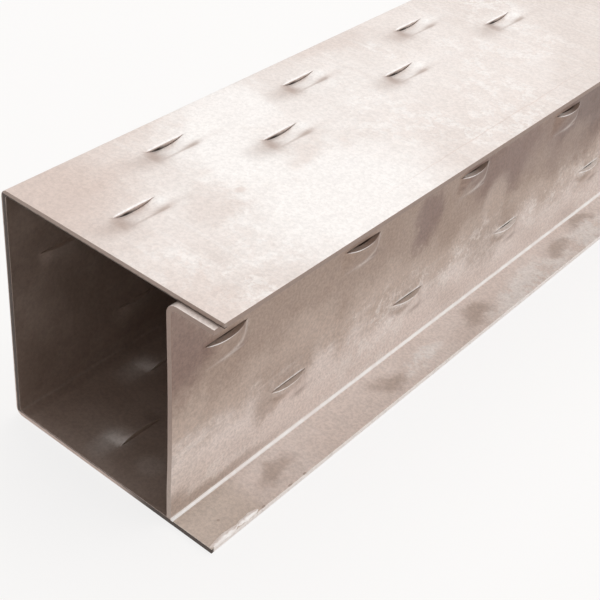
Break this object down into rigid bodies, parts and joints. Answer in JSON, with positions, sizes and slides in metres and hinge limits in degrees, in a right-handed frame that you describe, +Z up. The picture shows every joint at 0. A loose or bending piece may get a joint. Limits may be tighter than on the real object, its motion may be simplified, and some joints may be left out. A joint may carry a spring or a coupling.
{
  "type": "steel lintel",
  "caption": "Galvanised steel box lintel: a folded channel closed by a lipped web sheet, with a projecting toe and pressed plaster keys, spanning an opening in a wall.",
  "frame": {"origin": "middle of the underside, at the level of the floor it lies on", "axes": "+Y along the lintel's length away from the pictured end, +X across it towards the toe, +Z up"},
  "size_m": [0.14, 0.9, 0.14],
  "materials": {
    "channel_zinc": "hot-dip galvanised, satin, mottled",
    "web_zinc": "hot-dip galvanised, satin, mottled"
  },
  "bodies": {
    "root": {"outer_channel": "channel_zinc", "web_sheet": "web_zinc"}
  },
  "joints": []
}
